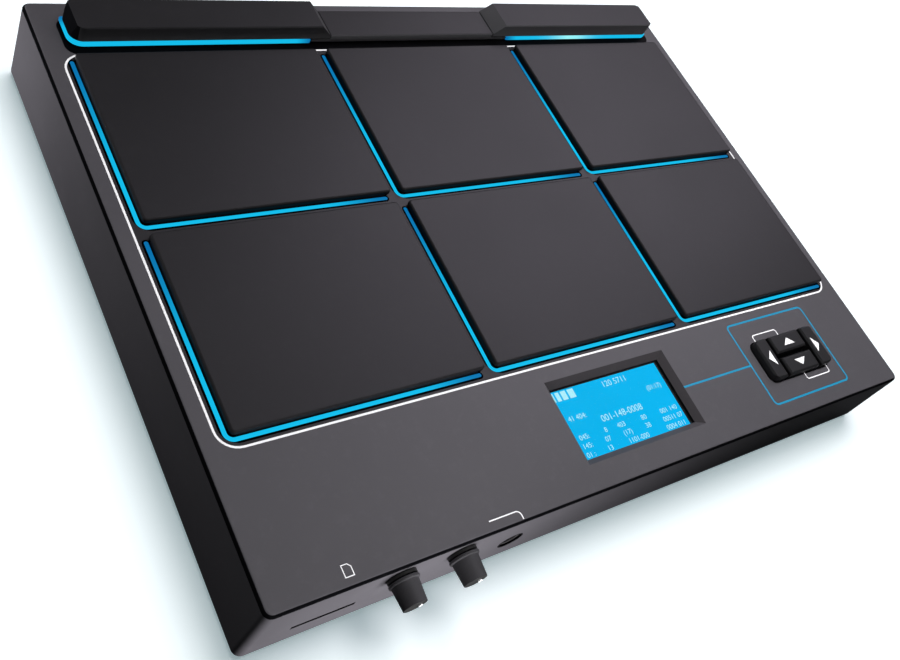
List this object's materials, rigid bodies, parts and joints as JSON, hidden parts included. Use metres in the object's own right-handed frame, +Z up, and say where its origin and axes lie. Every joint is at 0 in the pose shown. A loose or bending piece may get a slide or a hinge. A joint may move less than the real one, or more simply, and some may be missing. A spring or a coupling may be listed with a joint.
{
  "type": "electronic percussion pad",
  "caption": "Flat electronic percussion pad with rubber trigger pads edged by blue light guides, a rear trigger bar, a lit screen, arrow buttons and front volume knobs.",
  "frame": {"origin": "centre of the bounding box's bottom face, on the floor under the feet", "axes": "+X to the player's right, +Y to the back, +Z up; the knobs are on the front face at -Y"},
  "size_m": [0.3802, 0.2982, 0.0534],
  "materials": {
    "case_plastic": "fine matte texture",
    "cover_plastic": "matte",
    "pad_rubber": "matte",
    "bar_rubber": "matte",
    "bar_plastic": "satin",
    "light_guide": "clear, lit blue",
    "window_clear": "clear",
    "display": "lit blue",
    "button_rubber": "satin",
    "knob_plastic": "satin",
    "socket_plastic": "satin",
    "steel": "satin",
    "brass": "satin",
    "board": "satin",
    "foam": "matte",
    "silicone": "matte",
    "foot_rubber": "matte"
  },
  "bodies": {
    "case": {"top_case": "case_plastic", "bottom_cover": "cover_plastic", "bar_centre": "bar_plastic", "bar_guide_left": "light_guide", "bar_guide_right": "light_guide", "bar_foams": "foam", "bar_sensors": "brass", "pad_foams": "foam", "pad_sensors": "brass", "led_boards": "board", "screen_window": "window_clear", "screen_module": "display", "nav_board": "board", "nav_domes": "silicone", "volume_pots": "steel", "pot_nuts": "socket_plastic", "phones_jack": "socket_plastic", "card_socket": "steel", "front_board": "board", "rear_board": "board", "power_switch": "socket_plastic", "dc_inlet": "socket_plastic", "usb_port": "steel", "midi_sockets": "socket_plastic", "aux_jack": "socket_plastic", "rear_jacks": "socket_plastic", "jack_nuts": "steel", "feet": "foot_rubber", "case_screws": "steel", "board_screws": "steel", "mount_inserts": "brass", "pad_guide_1": "light_guide", "pad_guide_2": "light_guide", "pad_guide_3": "light_guide", "pad_guide_4": "light_guide", "pad_guide_5": "light_guide", "pad_guide_6": "light_guide"},
    "pad_1": {"pad_1": "pad_rubber", "pad_plate_1": "steel"},
    "pad_2": {"pad_2": "pad_rubber", "pad_plate_2": "steel"},
    "pad_3": {"pad_3": "pad_rubber", "pad_plate_3": "steel"},
    "pad_4": {"pad_4": "pad_rubber", "pad_plate_4": "steel"},
    "pad_5": {"pad_5": "pad_rubber", "pad_plate_5": "steel"},
    "pad_6": {"pad_6": "pad_rubber", "pad_plate_6": "steel"},
    "bar_left": {"trigger_bar_left": "bar_rubber"},
    "bar_right": {"trigger_bar_right": "bar_rubber"},
    "nav_left": {"nav_left": "button_rubber"},
    "nav_up": {"nav_up": "button_rubber"},
    "nav_down": {"nav_down": "button_rubber"},
    "nav_right": {"nav_right": "button_rubber"},
    "main_knob": {"main_knob": "knob_plastic", "main_shaft": "steel"},
    "phones_knob": {"phones_knob": "knob_plastic", "phones_shaft": "steel"},
    "power_button": {"power_button": "knob_plastic"}
  },
  "joints": [
    {"name": "pad_1_dip", "type": "slide", "parent": "case", "child": "pad_1", "axis": [0, 0, -1], "range_m": [0, 0.0008], "stiffness_N_per_m": 20000, "springref_m": -0.0004, "deforming": ["pad_foams"]},
    {"name": "pad_2_dip", "type": "slide", "parent": "case", "child": "pad_2", "axis": [0, 0, -1], "range_m": [0, 0.0008], "stiffness_N_per_m": 20000, "springref_m": -0.0004, "deforming": ["pad_foams"]},
    {"name": "pad_3_dip", "type": "slide", "parent": "case", "child": "pad_3", "axis": [0, 0, -1], "range_m": [0, 0.0008], "stiffness_N_per_m": 20000, "springref_m": -0.0004, "deforming": ["pad_foams"]},
    {"name": "pad_4_dip", "type": "slide", "parent": "case", "child": "pad_4", "axis": [0, 0, -1], "range_m": [0, 0.0008], "stiffness_N_per_m": 20000, "springref_m": -0.0004, "deforming": ["pad_foams"]},
    {"name": "pad_5_dip", "type": "slide", "parent": "case", "child": "pad_5", "axis": [0, 0, -1], "range_m": [0, 0.0008], "stiffness_N_per_m": 20000, "springref_m": -0.0004, "deforming": ["pad_foams"]},
    {"name": "pad_6_dip", "type": "slide", "parent": "case", "child": "pad_6", "axis": [0, 0, -1], "range_m": [0, 0.0008], "stiffness_N_per_m": 20000, "springref_m": -0.0004, "deforming": ["pad_foams"]},
    {"name": "bar_left_dip", "type": "slide", "parent": "case", "child": "bar_left", "axis": [0, 0, -1], "range_m": [0, 0.0004], "stiffness_N_per_m": 20000, "springref_m": -0.0004, "deforming": ["bar_foams"]},
    {"name": "bar_right_dip", "type": "slide", "parent": "case", "child": "bar_right", "axis": [0, 0, -1], "range_m": [0, 0.0004], "stiffness_N_per_m": 20000, "springref_m": -0.0004, "deforming": ["bar_foams"]},
    {"name": "nav_left_press", "type": "slide", "parent": "case", "child": "nav_left", "axis": [0, 0, -1], "range_m": [0, 0.001], "stiffness_N_per_m": 600, "springref_m": -0.001, "deforming": ["nav_domes"]},
    {"name": "nav_up_press", "type": "slide", "parent": "case", "child": "nav_up", "axis": [0, 0, -1], "range_m": [0, 0.001], "stiffness_N_per_m": 600, "springref_m": -0.001, "deforming": ["nav_domes"]},
    {"name": "nav_down_press", "type": "slide", "parent": "case", "child": "nav_down", "axis": [0, 0, -1], "range_m": [0, 0.001], "stiffness_N_per_m": 600, "springref_m": -0.001, "deforming": ["nav_domes"]},
    {"name": "nav_right_press", "type": "slide", "parent": "case", "child": "nav_right", "axis": [0, 0, -1], "range_m": [0, 0.001], "stiffness_N_per_m": 600, "springref_m": -0.001, "deforming": ["nav_domes"]},
    {"name": "power_press", "type": "slide", "parent": "case", "child": "power_button", "axis": [0, -1, 0], "range_m": [0, 0.0012], "stiffness_N_per_m": 400, "springref_m": -0.001},
    {"name": "main_turn", "type": "hinge", "parent": "case", "child": "main_knob", "pos_m": [-0.13305, -0.13665, 0.033], "axis": [0, -1, 0], "range_deg": [-150, 150]},
    {"name": "phones_turn", "type": "hinge", "parent": "case", "child": "phones_knob", "pos_m": [-0.10545, -0.13665, 0.033], "axis": [0, -1, 0], "range_deg": [-150, 150]}
  ]
}
